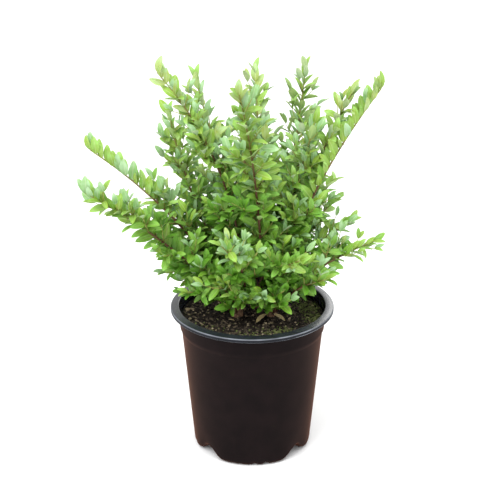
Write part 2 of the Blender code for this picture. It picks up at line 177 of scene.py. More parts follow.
def turned(outline, steps):
    """Closed body spun about +Z from an (r, z) outline whose ends lie on the axis."""
    bm = bmesh.new()
    verts = [bm.verts.new((r, 0, z)) for r, z in outline]
    edges = [bm.edges.new(pair) for pair in zip(verts, verts[1:])]
    bmesh.ops.spin(bm, geom=verts + edges, cent=(0, 0, 0), axis=(0, 0, 1), angle=2 * pi,
                   steps=steps, use_merge=True)
    bmesh.ops.remove_doubles(bm, verts=bm.verts, dist=0.00001)
    bmesh.ops.recalc_face_normals(bm, faces=bm.faces)
    return bm


def arc(middle_r, middle_z, radius, start, end, count):
    """Points of a round stretch of outline, angles in degrees from outwards towards up."""
    turns = [radians(start + (end - start) * i / count) for i in range(count + 1)]
    return [(middle_r + radius * cos(turn), middle_z + radius * sin(turn)) for turn in turns]


def side_outline(inset, off_floor=0.0):
    """Floor and side from the axis up to the shoulder, moved inwards, and more so off the floor."""
    level = inset + off_floor
    floor = [(0, level)] + [(r, level) for r in np.linspace(CHANNEL_INNER, BASE_RADIUS - TOE_ROUND, 8)]
    toe = arc(BASE_RADIUS - TOE_ROUND, TOE_ROUND, TOE_ROUND - level, -90, 0, 5)[1:]
    slope = (SHOULDER_RADIUS - BASE_RADIUS) / (SHOULDER_HEIGHT - TOE_ROUND)
    heights = [0.012, 0.018, 0.024, CHANNEL_TOP, 0.060, 0.095, SHOULDER_HEIGHT - 0.001]
    side = [(BASE_RADIUS + (z - TOE_ROUND) * slope - inset, z) for z in heights]
    shoulder = [(SHOULDER_RADIUS + DRAFT - inset, SHOULDER_HEIGHT),
                (SHOULDER_RADIUS + SHOULDER_STEP - inset, SHOULDER_HEIGHT + 2 * SHOULDER_STEP),
                (SHOULDER_RADIUS + SHOULDER_STEP + DRAFT / 2 - inset, SHOULDER_HEIGHT + 3 * SHOULDER_STEP)]
    return floor + toe + side + shoulder


def raise_channels(bm):
    """Lifts the base along its four drainage channels, and a little at a notch in each foot."""
    rises = [(turn, CHANNEL_HALF_ANGLE, CHANNEL_DEPTH) for turn in CHANNEL_TURNS]
    rises += [(turn, FOOT_NOTCH_HALF_ANGLE, FOOT_NOTCH_DEPTH) for turn in FOOT_NOTCH_TURNS]
    for vert in bm.verts:
        radius = vert.co.xy.length
        if radius < CHANNEL_INNER or vert.co.z > CHANNEL_TOP:
            continue
        turn = atan2(vert.co.y, vert.co.x)
        along = min(1.0, (radius - CHANNEL_INNER) / (CHANNEL_FULL - CHANNEL_INNER))
        upward = min(1.0, (CHANNEL_TOP - vert.co.z) / (CHANNEL_TOP - FLOOR_BAND))
        for middle, half, depth in rises:
            off = (turn - middle + pi) % (2 * pi) - pi
            if abs(off) < half:
                across = 0.5 + 0.5 * cos(pi * off / half)
                vert.co.z += depth * across * along * upward
    bmesh.ops.triangulate(bm, faces=bm.faces)


under_rim = POT_HEIGHT - RIM_DEPTH
rim = [(NECK_RADIUS - DRAFT, under_rim - RIM_ROOT_DROP),
       (NECK_RADIUS + RIM_ROOT_ROUND, under_rim + RIM_ROOT_ROUND),
       (RIM_RADIUS - 3 * LIP_ROUND, under_rim + 2 * DRAFT)]
rim += arc(RIM_RADIUS - LIP_ROUND, under_rim + LIP_ROUND, LIP_ROUND, -90, 0, 3)
rim += arc(RIM_RADIUS - LIP_TOP_ROUND, POT_HEIGHT - LIP_ROUND - LIP_TOP_ROUND, LIP_TOP_ROUND, 0, 90, 6)
rim += [(RIM_RADIUS - 3 * LIP_ROUND, POT_HEIGHT - LIP_ROUND)]
rim += arc(NECK_RADIUS + LIP_ROUND, POT_HEIGHT - LIP_ROUND, LIP_ROUND, 90, 180, 4)
rim += [(NECK_RADIUS - WALL, under_rim)]
pot_bm = turned(side_outline(0) + rim + side_outline(WALL)[::-1], POT_STEPS)
raise_channels(pot_bm)
OUTSIDE, INSIDE, RIM_SIDE, RIM_EDGE = range(4)
# How far a face looks up or down: on the rim's side less than the first, on its edges less than the
# second, and on the pot's inner floor more than the third
RIM_SIDE_TILT, RIM_EDGE_TILT, FLOOR_TILT = sin(radians(15)), sin(radians(75)), 0.3
for face in pot_bm.faces:
    middle = face.calc_center_median()
    tilt = face.normal.z
    facing_in = face.normal.dot(Vector((middle.x, middle.y, 0))) < 0 or tilt > FLOOR_TILT
    # The rim's rounded edges take the grey painted highlights, and its side the darker painted shade.
    if middle.xy.length > RIM_RADIUS - LIP_TOP_ROUND and abs(tilt) < RIM_EDGE_TILT:
        face.material_index = RIM_SIDE if abs(tilt) < RIM_SIDE_TILT else RIM_EDGE
    else:
        face.material_index = INSIDE if middle.z > under_rim or facing_in else OUTSIDE
# The brown's sheen is painted light along the pot's edges.
pot_brown = moulded_polypropylene("moulded_polypropylene_brown", "#130f10", "#181213",
                                  roughness=0.6, specular=0.04, painted_edge_sheen=0.36)
pot_black = moulded_polypropylene("moulded_polypropylene_black", "#191c22", "#23272f",
                                  roughness=0.24, specular=0.6, painted_edge_sheen=0.0)
# The rim's side: matt, and painted a darker black as shade.
pot_matt_painted_shade = moulded_polypropylene("matt_polypropylene_black_painted_shade", "#14161c", "#1c1f26",
                                   roughness=0.5, specular=0.15, painted_edge_sheen=0.0)
# The rim's rounded edges: painted grey as thin highlights.
pot_painted_highlight = moulded_polypropylene("painted_highlight_polypropylene_grey", "#4a4e55", "#747981",
                                    roughness=0.45, specular=0.4, painted_edge_sheen=0.0)
pot_shell = shown("pot_shell", pot_bm, pot_brown, pot_black, pot_matt_painted_shade, pot_painted_highlight)
for turn in CHANNEL_TURNS:
    drill = bmesh.new()
    where = Vector((cos(turn), sin(turn), 0)) * DRAIN_FROM_AXIS
    bmesh.ops.create_cone(drill, cap_ends=True, segments=DRAIN_SIDES, radius1=DRAIN_RADIUS,
                          radius2=DRAIN_RADIUS, depth=2 * CHANNEL_TOP, matrix=Matrix.Translation(where))
    cutter = shown("drain_drill", drill, pot_black)
    cut = pot_shell.modifiers.new("drain", "BOOLEAN")
    cut.operation = "DIFFERENCE"
    cut.object = cutter
    bpy.context.view_layer.update()
    shape = bpy.data.meshes.new_from_object(pot_shell.evaluated_get(bpy.context.evaluated_depsgraph_get()))
    pot_shell.modifiers.clear()
    pot_shell.data = shape
    bpy.data.objects.remove(cutter, do_unlink=True)
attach(pot_shell, "root")
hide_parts("pot")


# Compost: moist bark and peat, nearly black, with crumbs that stand out of its surface, chips of pale
# wood, a little moss by the rim and three fallen leaves. It fills the pot to 12 mm below the rim.

SOIL_HEIGHT = 0.148
SOIL_FLAT_RADIUS = 0.032
# Its slow swells and its fine crumble: the height and the width of each
SOIL_SWELL, SOIL_SWELL_WIDTH = 0.002, 0.018
SOIL_CRUMBLE, SOIL_CRUMBLE_WIDTH = 0.0006, 0.0035
SOIL_OFF_FLOOR = 0.003
SOIL_STEPS = 144
SOIL_RINGS = 40
CLEAR = 0.0003
CRUMB_PATTERN = 0.0022
DAMP_PATCH = 0.004
CRUMBS = 4200
CRUMB_SMALLEST = 0.0005
CRUMB_LARGEST = 0.0024
CRUMB_FLATNESS = 0.6
CRUMB_FROM_WALL = 0.003
CHIPS = 60
CHIP_SMALLEST = 0.0009
CHIP_LARGEST = 0.0026
CHIP_FLATNESS = 0.3
CHIP_GRAIN = 0.003
# A higher power makes more of the crumbs small ones.
SMALL_POWER = 2.5
TUFT_SMALLEST = 0.0005
TUFT_LARGEST = 0.0014
TUFT_FROM_WALL = 0.002
# Moss patches on the compost: x, y, spread and number of tufts
MOSS_PATCHES = [(0.058, 0.015, 0.018, 260), (0.064, -0.014, 0.012, 130), (0.012, -0.056, 0.022, 110),
                (0.034, -0.044, 0.016, 90), (-0.040, -0.046, 0.024, 50)]
# Larger pieces of dry bark: x, y, turn in degrees and half length
BARK_PIECES = [(-0.064, 0.013, 25, 0.0052), (-0.052, -0.028, -40, 0.0034), (0.040, 0.030, 60, 0.0036)]
BARK_PIECE_TILT = 12
BARK_PIECE_LIFT = 0.001
BARK_PIECE_WIDTH = 0.4
BARK_PIECE_THICKNESS = 0.18

soil_inset = WALL + CLEAR
soil_edge = NECK_RADIUS - SHOULDER_STEP / 2 - soil_inset


def soil_level(x, y):
    """Height of the compost's surface, flat round the stems and uneven further out."""
    radius = sqrt(x * x + y * y)
    share = min(1.0, max(0.0, (radius - SOIL_FLAT_RADIUS) / SOIL_FLAT_RADIUS))
    swell = SOIL_SWELL * noise.noise(Vector((x, y, SOIL_HEIGHT)) / SOIL_SWELL_WIDTH) * share
    return SOIL_HEIGHT + swell + SOIL_CRUMBLE * noise.noise(Vector((x, y, 0)) / SOIL_CRUMBLE_WIDTH)


top_rings = [(soil_edge * (1 - i / SOIL_RINGS), SOIL_HEIGHT) for i in range(SOIL_RINGS + 1)]
soil_bm = turned(side_outline(soil_inset, SOIL_OFF_FLOOR) + top_rings, SOIL_STEPS)
raise_channels(soil_bm)
for vert in soil_bm.verts:
    if vert.co.z > SOIL_HEIGHT - CLEAR:
        vert.co.z = soil_level(vert.co.x, vert.co.y)


def bark_and_peat(name, low, high):
    """Potting compost of bark and peat, or the moss that grows on it."""
    # To the eye: matt, grainy and nearly black where it is damp, with browner crumbs that have dried. The
    # moss is as matt and grainy, and a dull green.
    finish, shader = new_material(name, 0.95, 1.4, 0.2)
    place = add(finish, "ShaderNodeTexCoord", {}).outputs["Object"]
    crumbs = add(finish, "ShaderNodeTexVoronoi", {"Vector": place, "Scale": 1 / CRUMB_PATTERN})
    damp = add(finish, "ShaderNodeTexNoise", {"Vector": place, "Scale": 1 / DAMP_PATCH, "Detail": 6.0})
    dry = add(finish, "ShaderNodeMapRange", {"Value": damp.outputs["Fac"], **NOISE_RANGE})
    tone = add(finish, "ShaderNodeMix", {"Factor": dry.outputs["Result"], COLOUR_A: linear(low),
                                         COLOUR_B: linear(high)}, data_type="RGBA")
    bump = add(finish, "ShaderNodeBump", {"Height": crumbs.outputs["Distance"], "Distance": 0.0008})
    dress(finish, shader, tone, bump)
    return finish


compost_body = shown("compost_body", soil_bm, bark_and_peat("damp_compost", "#0e0b09", "#39322a"))
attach(compost_body, "root")
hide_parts("compost")


def joined(name, corners, faces, finish_numbers, *finishes):
    """One mesh from arrays: corners as (n, 3), faces as (m, 3), and each face's finish number."""
    mesh = bpy.data.meshes.new(name)
    mesh.from_pydata(corners.tolist(), [], faces.tolist())
    mesh.polygons.foreach_set("material_index", finish_numbers)
    for finish in finishes:
        mesh.materials.append(finish)
    mesh.update()
    made = bpy.data.objects.new(name, mesh)
    bpy.context.scene.collection.objects.link(made)
    return made


def copies(template, template_faces, places, sizes):
    """Corners and faces of a small shape repeated at each place, with its own sizes along X, Y and Z."""
    turns = np.array([np.array(place.to_3x3()) for place in places])
    spots = np.array([tuple(place.translation) for place in places])
    sized = template[None] * np.array(sizes)[:, None]
    corners = np.einsum("kij,knj->kni", turns, sized) + spots[:, None]
    starts = np.arange(len(places))[:, None, None] * len(template)
    return corners.reshape(-1, 3), (template_faces[None] + starts).reshape(-1, template_faces.shape[1])


def shape_arrays(bm):
    """Corners and three-cornered faces of a small bmesh, for copying."""
    bmesh.ops.triangulate(bm, faces=bm.faces)
    bm.verts.index_update()
    corners = np.array([tuple(vert.co) for vert in bm.verts])
    faces = np.array([[vert.index for vert in face.verts] for face in bm.faces])
    bm.free()
    return corners, faces


def scattered(chance, count, smallest, largest, flatness):
    """Random places and sizes for crumbs that lie on the compost."""
    places = []
    sizes = []
    for _ in range(count):
        radius = (soil_edge - CRUMB_FROM_WALL) * sqrt(chance.random())
        turn = chance.uniform(0, 2 * pi)
        x, y = radius * cos(turn), radius * sin(turn)
        size = smallest + (largest - smallest) * chance.random() ** SMALL_POWER
        spin = Matrix.Rotation(chance.uniform(0, 2 * pi), 4, "Z")
        tip = Matrix.Rotation(chance.uniform(-0.5, 0.5), 4, "X")
        places.append(Matrix.Translation((x, y, soil_level(x, y) + size * flatness * 0.2)) @ spin @ tip)
        sizes.append((size, size * chance.uniform(0.5, 1.0), size * flatness * chance.uniform(0.7, 1.2)))
    return places, sizes


crumb_bm = bmesh.new()
bmesh.ops.create_icosphere(crumb_bm, subdivisions=1, radius=1.0)
crumb_chance = random.Random("crumbs")
for vert in crumb_bm.verts:
    vert.co *= crumb_chance.uniform(0.7, 1.1)
crumb_shape, crumb_faces = shape_arrays(crumb_bm)
crumb_places, crumb_sizes = scattered(crumb_chance, CRUMBS, CRUMB_SMALLEST, CRUMB_LARGEST,
                                      CRUMB_FLATNESS)
PEAT, BARK, DRY_BARK, MOSS = range(4)
CRUMB_SHARES = (8, 6, 1.3)
CRUMB_COLOURS = [("crumb_peat", "#0e0b09", "#29231c"), ("crumb_bark", "#37302a", "#625848"),
                 ("crumb_bark_dry", "#72664f", "#a2967c"), ("moss", "#39401f", "#6b7446")]
crumb_kinds = [crumb_chance.choices((PEAT, BARK, DRY_BARK), CRUMB_SHARES)[0] for _ in crumb_places]
for x, y, spread, tufts in MOSS_PATCHES:
    for _ in range(tufts):
        tuft_x, tuft_y = x + crumb_chance.gauss(0, spread / 2), y + crumb_chance.gauss(0, spread / 2)
        if sqrt(tuft_x * tuft_x + tuft_y * tuft_y) < soil_edge - TUFT_FROM_WALL:
            size = crumb_chance.uniform(TUFT_SMALLEST, TUFT_LARGEST)
            level = soil_level(tuft_x, tuft_y) + size / 2
            crumb_places.append(Matrix.Translation((tuft_x, tuft_y, level)))
            crumb_sizes.append((size, size, size * crumb_chance.uniform(0.8, 1.6)))
            crumb_kinds.append(MOSS)
for x, y, turn, size in BARK_PIECES:
    lying = Matrix.Rotation(radians(turn), 4, "Z") @ Matrix.Rotation(radians(BARK_PIECE_TILT), 4, "Y")
    crumb_places.append(Matrix.Translation((x, y, soil_level(x, y) + BARK_PIECE_LIFT)) @ lying)
    crumb_sizes.append((size, size * BARK_PIECE_WIDTH, size * BARK_PIECE_THICKNESS))
    crumb_kinds.append(DRY_BARK)
corners, faces = copies(crumb_shape, crumb_faces, crumb_places, crumb_sizes)
compost_crumbs = joined("compost_crumbs", corners, faces, np.repeat(crumb_kinds, len(crumb_faces)),
                        *[bark_and_peat(name, low, high) for name, low, high in CRUMB_COLOURS])
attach(compost_crumbs, "root")

chip_bm = bmesh.new()
bmesh.ops.create_cube(chip_bm, size=2.0)
bmesh.ops.bevel(chip_bm, geom=chip_bm.edges[:], offset=0.3, affect="EDGES", segments=1, profile=0.5,
                material=-1)
chip_shape, chip_faces = shape_arrays(chip_bm)
chip_places, chip_sizes = scattered(random.Random("chips"), CHIPS, CHIP_SMALLEST, CHIP_LARGEST,
                                    CHIP_FLATNESS)
corners, faces = copies(chip_shape, chip_faces, chip_places, chip_sizes)
# To the eye: small pale tan splinters that catch the light among the dark crumbs.
wood_chip, chip_shader = new_material("softwood_chip", 0.8, 1.4, 0.3)
chip_place = add(wood_chip, "ShaderNodeTexCoord", {}).outputs["Object"]
chip_grain = add(wood_chip, "ShaderNodeTexNoise", {"Vector": chip_place, "Scale": 1 / CHIP_GRAIN})
chip_tone = add(wood_chip, "ShaderNodeMix", {"Factor": chip_grain.outputs["Fac"], COLOUR_A: linear("#7d6547"),
                                             COLOUR_B: linear("#c9b79a")}, data_type="RGBA")
wood_chip.node_tree.links.new(chip_tone.outputs[COLOUR_OUT], chip_shader.inputs["Base Color"])
wood_chips = joined("wood_chips", corners, faces, np.zeros(len(faces), int), wood_chip)
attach(wood_chips, "root")


# Stems and boughs: two or three years' wood, thin grey-brown bark that flakes in strips, with a low
# ridge at each old pair of leaves. The boughs fork from three short stems at the compost.

GROUND = SOIL_HEIGHT + CLEAR
STEMS = {
    "stem_left": {"foot": (-0.016, -0.004), "top": (-0.009, -0.003), "height": 0.023,
                  "foot_radius": 0.0050, "top_radius": 0.0038},
    "stem_right": {"foot": (0.021, -0.004), "top": (0.011, -0.004), "height": 0.021,
                   "foot_radius": 0.0046, "top_radius": 0.0036},
    "stem_rear": {"foot": (0.004, 0.018), "top": (0.001, 0.011), "height": 0.024,
                  "foot_radius": 0.0048, "top_radius": 0.0038},
}
FLARE = 0.35
FLARE_SHARE = 0.3

# Shoots: the stem each one leaves and how far up it, compass angle from +X and its turn on the way,
# lean from upright at foot and tip, all in degrees, and length in metres.
SHOOTS = {
    "left_top": ("stem_left", 1.00, 155, 30, 0, 40, 0.255),
    "left_arch": ("stem_left", 0.65, 170, 10, 30, 55, 0.220),
    "left_low": ("stem_left", 0.45, 190, 10, 40, 55, 0.205),
    "left_upright": ("stem_left", 0.85, 135, 30, 40, 10, 0.205),
    "left_inner": ("stem_rear", 0.85, 150, -20, 15, 25, 0.225),
    "centre_fore": ("stem_right", 1.00, -105, -5, 5, 30, 0.250),
    "centre_rear": ("stem_rear", 1.00, 70, 30, 5, 30, 0.225),
    "centre_right": ("stem_rear", 0.85, -10, 30, 20, 15, 0.190),
    "right_crest": ("stem_rear", 0.65, 55, 20, 35, 25, 0.245),
    "right_inner": ("stem_right", 0.90, 40, -50, 20, 25, 0.230),
    "right_arch": ("stem_right", 0.65, 10, 10, 15, 40, 0.250),
    "right_small": ("stem_rear", 0.45, 20, 5, 30, 55, 0.130),
    "right_spray": ("stem_right", 0.45, 25, -15, 25, 65, 0.120),
    "right_low": ("stem_right", 0.30, -15, 20, 35, 70, 0.130),
    "front_right": ("stem_right", 0.75, -65, 5, 20, 65, 0.095),
    "right_bottom": ("stem_right", 0.15, -45, 10, 30, 70, 0.085),
    "front_left": ("stem_left", 0.80, -70, -70, 35, 45, 0.115),
    "front_low_left": ("stem_left", 0.35, -105, -20, 25, 60, 0.055),
    "front_centre": ("stem_left", 0.20, -90, 0, 35, 60, 0.055),
    "left_bottom": ("stem_left", 0.30, 175, 0, 45, 60, 0.085),
    "left_drape": ("stem_left", 0.15, -155, 0, 35, 80, 0.060),
    "front_right_near": ("stem_right", 0.45, -105, 0, 35, 60, 0.050),
    "front_right_low": ("stem_right", 0.15, -90, 20, 40, 70, 0.045),
    "back_left": ("stem_rear", 0.60, 115, 10, 40, 60, 0.170),
    "back_middle": ("stem_rear", 0.40, 85, 0, 35, 50, 0.195),
    "back_right": ("stem_rear", 0.25, 50, 0, 40, 65, 0.160),
    "back_low_left": ("stem_rear", 0.20, 145, 0, 50, 75, 0.110),
    "back_low": ("stem_rear", 0.05, 90, 0, 55, 80, 0.090),
}
SHOOT_RADIUS = 0.0015
SHOOT_TIP_RADIUS = 0.0006
BOUGH_SHARE = 0.25
BOUGH_LEAST_SHOOT = 0.095
RING_STEP = 0.028
STEM_RING_STEP = 0.001
BOUGH_RING_STEP = 0.0025
STEM_SIDES = 20
BOUGH_SIDES = 10
# How far the strips of bark stand in and out, and how wide and long they are
STEM_RELIEF = 0.0006
BOUGH_RELIEF = 0.000175
STRIP_WIDTH = 0.0012
STRIP_LENGTH = 0.008
# The ridges at old leaf pairs: their distance, their share of the radius, and how narrow they are
NODE_STEP = 0.009
NODE_SWELL = 0.12
NODE_POWER = 6
# A bough starts inside its stem, at most this far up it and this much thicker.
COLLAR_TOP = 0.95
COLLAR_SWELL = 1.2


def heading(azimuth, lean):
    """Turn that points +Z along a limb of this compass angle and lean, with -X on its upper side."""
    return Matrix.Rotation(radians(azimuth), 4, "Z") @ Matrix.Rotation(radians(lean), 4, "Y")


class Shoot:
    """A limb's middle line, an arc that leans and turns evenly from foot to tip."""

    def __init__(self, foot, azimuth, turn, lean, tip_lean, length):
        self.azimuth, self.turn = azimuth, turn
        self.lean, self.tip_lean = lean, tip_lean
        self.length = length
        self.steps = max(2, ceil(length / RING_STEP))
        self.points = [Vector(foot)]
        for i in range(self.steps):
            ahead = self.turned_to((i + 0.5) / self.steps) @ Vector((0, 0, length / self.steps))
            self.points.append(self.points[-1] + ahead)

    def turned_to(self, share):
        """The limb's own turn at this share of its length."""
        return heading(self.azimuth + self.turn * share, self.lean_at(share))

    def lean_at(self, share):
        """Degrees from upright at this share of its length."""
        return self.lean + (self.tip_lean - self.lean) * share

    def place(self, share):
        """Spot on the limb at this share of its length, with the limb's turn there."""
        at = min(share * self.steps, self.steps - 0.000001)
        before = int(at)
        spot = self.points[before].lerp(self.points[before + 1], at - before)
        return Matrix.Translation(spot) @ self.turned_to(share)


def stem_line(stem):
    """Foot and top of a stem."""
    foot = Vector((*stem["foot"], GROUND))
    return foot, Vector((*stem["top"], GROUND + stem["height"]))


def stem_radius(stem, share):
    """Radius of a stem, which tapers upwards and flares at its foot."""
    taper = stem["foot_radius"] + (stem["top_radius"] - stem["foot_radius"]) * share
    return taper * (1 + FLARE * max(0.0, 1 - share / FLARE_SHARE) ** 2)


def foot_on_stem(stem, seat, azimuth, lean):
    """Where a shoot leaves the top or side of its stem."""
    foot, top = stem_line(stem)
    upward = (top - foot).normalized()
    ahead = heading(azimuth, lean) @ Vector((0, 0, 1))
    along = ahead.dot(upward)
    if seat == 1.0:
        return top + ahead * (CLEAR + SHOOT_RADIUS * sqrt(1 - along * along)) / along
    outward = (ahead - upward * along).normalized()
    return foot.lerp(top, seat) + outward * (stem_radius(stem, seat) + CLEAR + SHOOT_RADIUS * along)


def shoot_radius(share):
    """Radius of a shoot's wood at this share of its length."""
    return SHOOT_RADIUS + (SHOOT_TIP_RADIUS - SHOOT_RADIUS) * share


def limb(places, radii, sides):
    """Tapering body drawn through the places, by extruding one end face from ring to ring."""
    bm = bmesh.new()
    bmesh.ops.create_circle(bm, cap_ends=True, segments=sides, radius=radii[0], matrix=places[0])
    end = bm.faces[:][0]
    for i in range(1, len(places)):
        grown = bmesh.ops.extrude_face_region(bm, geom=[end])["geom"]
        if i > 1:
            bmesh.ops.delete(bm, geom=[end], context="FACES_ONLY")
        end = [part for part in grown if isinstance(part, bmesh.types.BMFace)][0]
        move = places[i] @ Matrix.Scale(radii[i] / radii[i - 1], 4) @ places[i - 1].inverted()
        bmesh.ops.transform(bm, matrix=move, verts=end.verts)
    bmesh.ops.recalc_face_normals(bm, faces=bm.faces)
    return bm


def flaked(bm, height):
    """Pushes a limb's surface in and out in strips that run up it."""
    bm.normal_update()
    for vert in bm.verts:
        spot = vert.co
        strips = noise.noise(Vector((spot.x / STRIP_WIDTH, spot.y / STRIP_WIDTH, spot.z / STRIP_LENGTH)))
        vert.co += vert.normal * strips * height
    return bm


shoots = {name: Shoot(foot_on_stem(STEMS[stem], seat, azimuth, lean), azimuth, turn, lean, tip_lean, length)
          for name, (stem, seat, azimuth, turn, lean, tip_lean, length) in SHOOTS.items()}

# To the eye: dark grey-brown with paler strips that run up the limb, dry and matt.
thin_bark, bark_shader = new_material("thin_flaking_bark", 0.82, 1.45, 0.35)
bark_place = add(thin_bark, "ShaderNodeTexCoord", {}).outputs["Object"]
strip_map = add(thin_bark, "ShaderNodeMapping",
                {"Vector": bark_place, "Scale": (1 / STRIP_WIDTH, 1 / STRIP_WIDTH, 1 / STRIP_LENGTH)})
strips = add(thin_bark, "ShaderNodeTexNoise",
             {"Vector": strip_map.outputs["Vector"], "Scale": 1.0, "Detail": 5.0})
flake = add(thin_bark, "ShaderNodeMapRange",
            {"Value": strips.outputs["Fac"], "From Min": 0.3, "From Max": 0.75})
bark_tone = add(thin_bark, "ShaderNodeMix", {"Factor": flake.outputs["Result"], COLOUR_A: linear("#4d3528"),
                                             COLOUR_B: linear("#ad8c6e")}, data_type="RGBA")
bark_bump = add(thin_bark, "ShaderNodeBump", {"Height": strips.outputs["Fac"], "Distance": 0.0003})
dress(thin_bark, bark_shader, bark_tone, bark_bump)

wood = bmesh.new()


def add_wood(bm):
    """Joins one limb to the woody piece."""
    part = bpy.data.meshes.new("wood_part")
    bm.to_mesh(part)
    bm.free()
    wood.from_mesh(part)
    bpy.data.meshes.remove(part)


for stem in STEMS.values():
    foot, top = stem_line(stem)
    rings = ceil(stem["height"] / STEM_RING_STEP)
    spots = [Matrix.Translation(foot.lerp(top, i / rings)) for i in range(rings + 1)]
    radii = [stem_radius(stem, i / rings) for i in range(rings + 1)]
    add_wood(flaked(limb(spots, radii, STEM_SIDES), STEM_RELIEF))
for name, (stem, seat, *_) in SHOOTS.items():
    if shoots[name].length >= BOUGH_LEAST_SHOOT:
        foot, top = stem_line(STEMS[stem])
        rings = ceil(BOUGH_SHARE * shoots[name].length / BOUGH_RING_STEP)
        shares = [BOUGH_SHARE * i / rings for i in range(rings + 1)]
        spots = [shoots[name].place(share) for share in shares]
        collar = Matrix.Translation(foot.lerp(top, min(seat, COLLAR_TOP))) @ spots[0].to_3x3().to_4x4()
        waves = [cos(2 * pi * share * shoots[name].length / NODE_STEP) for share in shares]
        ridges = [1 + NODE_SWELL * max(0.0, wave) ** NODE_POWER for wave in waves]
        radii = [COLLAR_SWELL * SHOOT_RADIUS] + [shoot_radius(share) * ridge
                                                 for share, ridge in zip(shares, ridges)]
        add_wood(flaked(limb([collar] + spots, radii, BOUGH_SIDES), BOUGH_RELIEF))
woody_frame = shown("woody_frame", wood, thin_bark)
bough_names = [f"bough_{name}" for name, shoot in shoots.items() if shoot.length >= BOUGH_LEAST_SHOOT]
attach(woody_frame, "root")
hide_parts(*STEMS, *bough_names)


# Twigs: this and last year's growth, red-brown, smooth and finely downy, thinner than a match.
# Each shoot carries on from its bough, and side twigs leave it left and right, longest low down,
# each with small twigs of its own. All the leaves are worked out here too, pair by pair.

TWIG_SIDES = 5
TWIG_RINGS = 4
SHOOT_RING_STEP = 0.006
TWIG_STEP = 0.0098
TWIG_ANGLE = 45
TWIG_ANGLE_VARIES = 12
TWIG_TURN = 15
TWIG_RADIUS = 0.0008
TWIG_TIP_RADIUS = 0.00035
TWIG_LONGEST = 0.054
TWIG_SHORTEST = 0.012
TWIG_LEAST = 0.013
TWIG_FADE = 0.9
TWIG_RISE = 0.75
TWIG_VARIES = (0.35, 1.15)
# Degrees by which a side twig leaves below and above the shoot's side
TWIG_DOWN, TWIG_UP = -60, 80
# Share of a shoot's length that counts for the number of its side twigs, and where the last may be
TWIGGED_SHARE = 0.9
TWIGS_END = 0.92
# Twigs longer than this bear two small ones: where along it, how far round it, and how long
FORKING_TWIG = 0.026
FINE_TWIG_AT = (0.25, 0.5)
FINE_TWIG_ROUND = (40, 100)
FINE_TWIG_SHARE = 0.5
FINE_TWIG_VARIES = (0.6, 1.0)
# Beyond this share of its length such a shoot has no side twigs, and its leaves stand up in a row.
ROWS = {"left_arch": 0.60, "right_arch": 0.40, "left_low": 0.92, "left_top": 0.88}
# Share of its side twigs that an open shoot keeps.
OPEN_SHOOTS = {"left_upright": 0.80, "left_inner": 0.75, "right_inner": 0.65, "right_arch": 0.65,
               "back_left": 0.6, "back_right": 0.6}
# Share without leaves at the foot of a shoot with a bough, of one without, and of a twig
BOUGH_LEAFLESS, LOW_LEAFLESS, TWIG_LEAFLESS = 0.12, 0.4, 0.18
PAIR_STEP = 0.0088
COMB_PAIR_STEP = 0.0072
TWIG_PAIR_STEP = 0.0084
LEAF_LONGEST = 0.0215
LEAF_SHORTEST = 0.0185
TWIG_LEAF_SIZE = 0.84
LOW_SHOOT = 0.13
LOW_LEAF_SIZE = 0.86
LENGTH_VARIES = (0.76, 1.12)
WIDTH_VARIES = (0.88, 1.12)
INSIDE_MARGIN = 0.0012
TIP_OVER_SOIL = 0.006
TIP_OVER_RIM = 0.002
TIP_INSIDE_NECK = 0.005
LEAF_WIDTH = 0.42
LEAF_SPREAD = 56
LEAF_TIP_SPREAD = 18
COMB_TIP_SPREAD = 42
# Degrees by which a pair is raised off the limb's sides, in a row and elsewhere, and how it varies
COMB_RISE = (50, 75)
PAIR_RISE = (-25, 40)
PAIR_TURN_VARIES = 14
SPREAD_VARIES = 12
BLADE_ROLL = 32
ROW_DROPPED = 0.06
UPRIGHT_LEAN = 25
CROSSED_CHANCE = 0.3
LAST_PAIR = 0.995
# How strongly blades turn their faces out to each side and out to the back, to the front, and up
OUT_SIDE, OUT_BACK, TO_FRONT, UPWARDS = 2.2, 5, 0.4, 0.75
# Kinds of leaf green. All but the fresh and fallen ones are painted light and shade: a leaf higher in the
# crown gets a lighter kind and one lower down a darker one, and one nearer a shoot's tip, where it is also
# younger, a lighter one too.
YOUNG_AND_LIT, FRESH, BRIGHT, MATURE_AND_SHADED, DEEP, FALLEN = range(6)
# Light that a leaf gets, from how near its tip and how high in the crown it is, and the least for a kind
TIP_LIGHT, HEIGHT_LIGHT, LIGHT_VARIES = 0.35, 0.75, 0.2
YOUNG_LIGHT, BRIGHT_LIGHT, MATURE_LIGHT = 0.98, 0.5, 0.28
FRESH_CHANCE = 0.16
TWIG_TIP = 0.8
# A five-sided tube looks thinner than a round one, so a shoot's wood is drawn this much thicker.
WOOD_THICKER = 1.12
TWIG_YOUTH = 0.3
RED_MOTTLE = 0.012
DOWN_GRAIN = 0.0008

# Fallen leaves on the compost: x, y, turn and tilt in degrees, and length
FALLEN_LEAVES = [(0.004, -0.026, 38, 30, 0.0150), (0.034, -0.021, 150, 25, 0.0145),
                 (-0.018, -0.021, 160, 8, 0.0070)]
FALLEN_LIFT = 0.0015

twig_tubes = []
leaves = []


def off_limb(place, around, spread):
    """Direction that leaves a limb by the spread, around degrees from the limb's upper side."""
    around, spread = radians(around), radians(spread)
    local = Vector((-cos(around) * sin(spread), sin(around) * sin(spread), cos(spread)))
    return (place.to_3x3() @ local).normalized()


def light_on(spot):
    """Where blades at this spot turn their faces: up, out of the crown, and a little to its front."""
    return Vector((OUT_SIDE * spot.x, OUT_BACK * spot.y - TO_FRONT, UPWARDS)).normalized()


